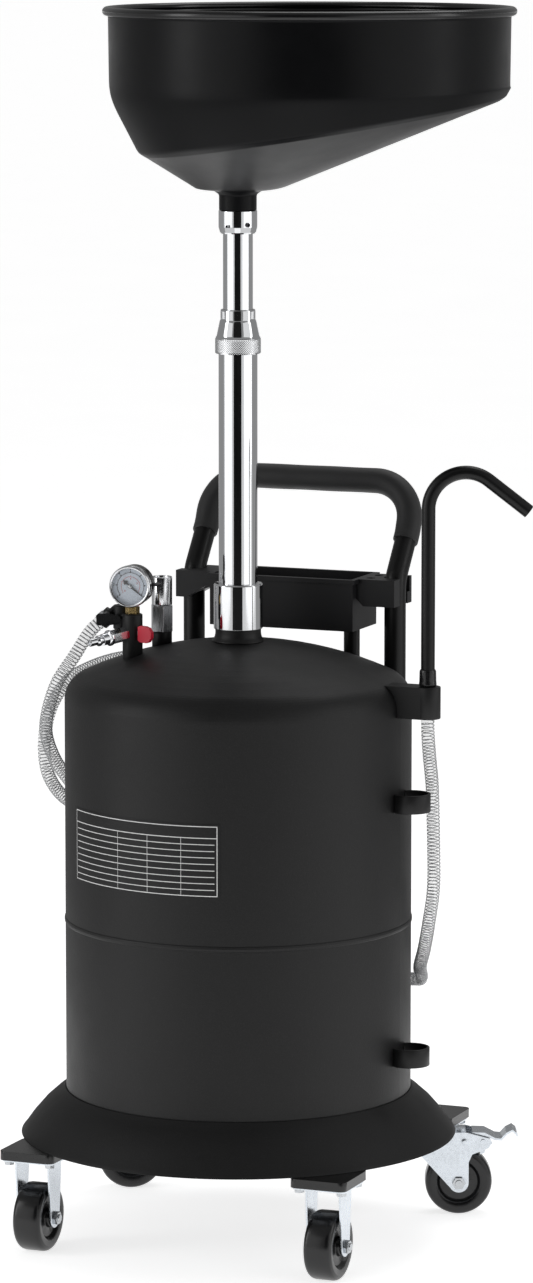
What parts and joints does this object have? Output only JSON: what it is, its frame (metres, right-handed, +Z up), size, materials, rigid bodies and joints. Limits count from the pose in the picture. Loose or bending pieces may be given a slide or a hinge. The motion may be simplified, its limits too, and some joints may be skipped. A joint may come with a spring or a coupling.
{
  "type": "waste oil drainer",
  "caption": "Mobile waste-oil drainer: steel tank on casters, telescopic chrome mast with off-centre funnel bowl, push handle with tool tray, gauge, discharge hose and hooked wand.",
  "frame": {"origin": "on the floor under the tank's axis, midway between the four caster plates", "axes": "+Z up along the mast, +Y to the handle and tray side, +X to the wand side"},
  "size_m": [0.5865, 0.4925, 1.349],
  "materials": {
    "tank_upper_shell": "matte black powder coat with a fine pebble",
    "tank_lower_shell": "matte black powder coat with a fine pebble",
    "girth_seam": "matte black powder coat with a fine pebble",
    "base_skirt": "matte black powder coat with a fine pebble",
    "base_cross": "semi-gloss black coat",
    "caster_plates": "bright zinc plate, slightly blue",
    "caster_bolts": "zinc plated steel",
    "front_forks": "bright zinc plate, slightly blue",
    "front_axles": "zinc plated steel",
    "rear_king_pins": "zinc plated steel",
    "handle_tube": "black powder coat",
    "handle_grip": "closed-cell foam, matte black",
    "handle_saddles": "black powder coat",
    "tool_tray": "moulded plastic, fine grain",
    "mast_base_ring": "matte black coat",
    "mast_sleeve": "bright chrome",
    "mast_outer_tube": "bright chrome",
    "mast_collet": "natural nylon",
    "manifold_post": "matte black coat",
    "hose_valve_body": "matte black coat",
    "hose_barb": "black",
    "hose_clamp": "plated",
    "gauge_adapter": "machined brass",
    "gauge_case": "black",
    "gauge_bezel": "polished stainless steel",
    "gauge_dial": null,
    "gauge_lens": "clear",
    "air_plug": "plated",
    "silencer_base": "matte black coat",
    "silencer_hex": "nickel plate, brushed flats",
    "silencer_body": "plated",
    "air_valve_stem": "plated",
    "dip_tube": "plated",
    "wand_holder": "black powder coat",
    "hose_rings": "black powder coat",
    "hose_hooks": "black powder coat",
    "discharge_hose": "clear PVC over a steel wire spiral",
    "data_plate": "printed outline and ruled rows on black, no lettering",
    "mast_inner_tube": "bright chrome",
    "mast_guide_bush": "natural nylon",
    "lock_nut": "bright chrome",
    "funnel_cup": "bright chrome",
    "funnel_bowl": "moulded plastic, fine grain",
    "cup_set_screw": "black oxide",
    "gauge_needle": "black",
    "air_valve_lever": "red",
    "hose_valve_lever": "black",
    "rear_fork_right": "bright zinc plate, slightly blue",
    "rear_fork_left": "bright zinc plate, slightly blue",
    "rear_axle_right": "zinc plated steel",
    "rear_axle_left": "zinc plated steel",
    "brake_pedal_right": "bright zinc plate, slightly blue",
    "brake_pedal_left": "bright zinc plate, slightly blue",
    "front_wheel_right": "hard black tread and hub",
    "front_wheel_left": "hard black tread and hub",
    "rear_wheel_right": "hard black tread and hub",
    "rear_wheel_left": "hard black tread and hub",
    "wand_collar": "satin black",
    "wand_tube": "satin black",
    "tray_support": "black powder coat"
  },
  "bodies": {
    "chassis": {"tank_upper_shell": "tank_upper_shell", "tank_lower_shell": "tank_lower_shell", "girth_seam": "girth_seam", "base_skirt": "base_skirt", "base_cross": "base_cross", "caster_plates": "caster_plates", "caster_bolts": "caster_bolts", "front_forks": "front_forks", "front_axles": "front_axles", "rear_king_pins": "rear_king_pins", "handle_tube": "handle_tube", "handle_grip": "handle_grip", "handle_saddles": "handle_saddles", "tool_tray": "tool_tray", "mast_base_ring": "mast_base_ring", "mast_sleeve": "mast_sleeve", "mast_outer_tube": "mast_outer_tube", "mast_collet": "mast_collet", "manifold_post": "manifold_post", "hose_valve_body": "hose_valve_body", "hose_barb": "hose_barb", "hose_clamp": "hose_clamp", "gauge_adapter": "gauge_adapter", "gauge_case": "gauge_case", "gauge_bezel": "gauge_bezel", "gauge_dial": "gauge_dial", "gauge_lens": "gauge_lens", "air_plug": "air_plug", "silencer_base": "silencer_base", "silencer_hex": "silencer_hex", "silencer_body": "silencer_body", "air_valve_stem": "air_valve_stem", "dip_tube": "dip_tube", "wand_holder": "wand_holder", "hose_rings": "hose_rings", "hose_hooks": "hose_hooks", "discharge_hose": "discharge_hose", "data_plate": "data_plate", "tray_support": "tray_support"},
    "mast_slider": {"mast_inner_tube": "mast_inner_tube", "mast_guide_bush": "mast_guide_bush"},
    "nut": {"lock_nut": "lock_nut"},
    "funnel": {"funnel_cup": "funnel_cup", "funnel_bowl": "funnel_bowl", "cup_set_screw": "cup_set_screw"},
    "needle": {"gauge_needle": "gauge_needle"},
    "air_lever": {"air_valve_lever": "air_valve_lever"},
    "hose_lever": {"hose_valve_lever": "hose_valve_lever"},
    "caster_rear_right": {"rear_fork_right": "rear_fork_right", "rear_axle_right": "rear_axle_right"},
    "caster_rear_left": {"rear_fork_left": "rear_fork_left", "rear_axle_left": "rear_axle_left"},
    "pedal_right": {"brake_pedal_right": "brake_pedal_right"},
    "pedal_left": {"brake_pedal_left": "brake_pedal_left"},
    "wheel_front_right": {"front_wheel_right": "front_wheel_right"},
    "wheel_front_left": {"front_wheel_left": "front_wheel_left"},
    "wheel_rear_right": {"rear_wheel_right": "rear_wheel_right"},
    "wheel_rear_left": {"rear_wheel_left": "rear_wheel_left"},
    "wand": {"wand_collar": "wand_collar", "wand_tube": "wand_tube"}
  },
  "joints": [
    {"name": "mast_slide", "type": "slide", "parent": "chassis", "child": "mast_slider", "axis": [0, 0, 1], "range_m": [-0.08, 0.42]},
    {"name": "funnel_swivel", "type": "hinge", "parent": "mast_slider", "child": "funnel", "pos_m": [0, 0, 1.114], "axis": [0, 0, 1], "continuous": true},
    {"name": "lock_nut_turn", "type": "hinge", "parent": "chassis", "child": "nut", "pos_m": [0, 0, 0.99], "axis": [0, 0, 1], "range_deg": [0, 180]},
    {"name": "gauge_needle_turn", "type": "hinge", "parent": "chassis", "child": "needle", "pos_m": [-0.10404, -0.05002, 0.722], "axis": [0.1392, -0.9903, 0], "range_deg": [0, 258], "stiffness_Nm_per_rad": 0.001},
    {"name": "air_valve_turn", "type": "hinge", "parent": "chassis", "child": "air_lever", "pos_m": [-0.10404, -0.05002, 0.671], "axis": [0.9511, -0.309, 0], "range_deg": [0, 90]},
    {"name": "hose_valve_turn", "type": "hinge", "parent": "chassis", "child": "hose_lever", "pos_m": [-0.12765, -0.04122, 0.684], "axis": [0.3746, -0.9272, 0], "range_deg": [0, 90]},
    {"name": "wand_turn", "type": "hinge", "parent": "chassis", "child": "wand", "pos_m": [0.221, 0, 0.6], "axis": [0, 0, 1], "range_deg": [-90, 90]},
    {"name": "swivel_right", "type": "hinge", "parent": "chassis", "child": "caster_rear_right", "pos_m": [0.17, 0.162, 0.09], "axis": [0, 0, 1], "continuous": true},
    {"name": "spin_rear_right", "type": "hinge", "parent": "caster_rear_right", "child": "wheel_rear_right", "pos_m": [0.19596, 0.17249, 0.0375], "axis": [-0.3746, 0.9272, 0], "continuous": true},
    {"name": "brake_right", "type": "hinge", "parent": "caster_rear_right", "child": "pedal_right", "pos_m": [0.22099, 0.1826, 0.085], "axis": [-0.3746, 0.9272, 0], "range_deg": [0, 8]},
    {"name": "spin_front_right", "type": "hinge", "parent": "chassis", "child": "wheel_front_right", "pos_m": [0.17, -0.162, 0.0375], "axis": [1, 0, 0], "continuous": true},
    {"name": "swivel_left", "type": "hinge", "parent": "chassis", "child": "caster_rear_left", "pos_m": [-0.17, 0.162, 0.09], "axis": [0, 0, 1], "continuous": true},
    {"name": "spin_rear_left", "type": "hinge", "parent": "caster_rear_left", "child": "wheel_rear_left", "pos_m": [-0.19425, 0.148, 0.0375], "axis": [0.5, -0.866, 0], "continuous": true},
    {"name": "brake_left", "type": "hinge", "parent": "caster_rear_left", "child": "pedal_left", "pos_m": [-0.21763, 0.1345, 0.085], "axis": [0.5, -0.866, 0], "range_deg": [0, 8]},
    {"name": "spin_front_left", "type": "hinge", "parent": "chassis", "child": "wheel_front_left", "pos_m": [-0.17, -0.162, 0.0375], "axis": [1, 0, 0], "continuous": true}
  ]
}
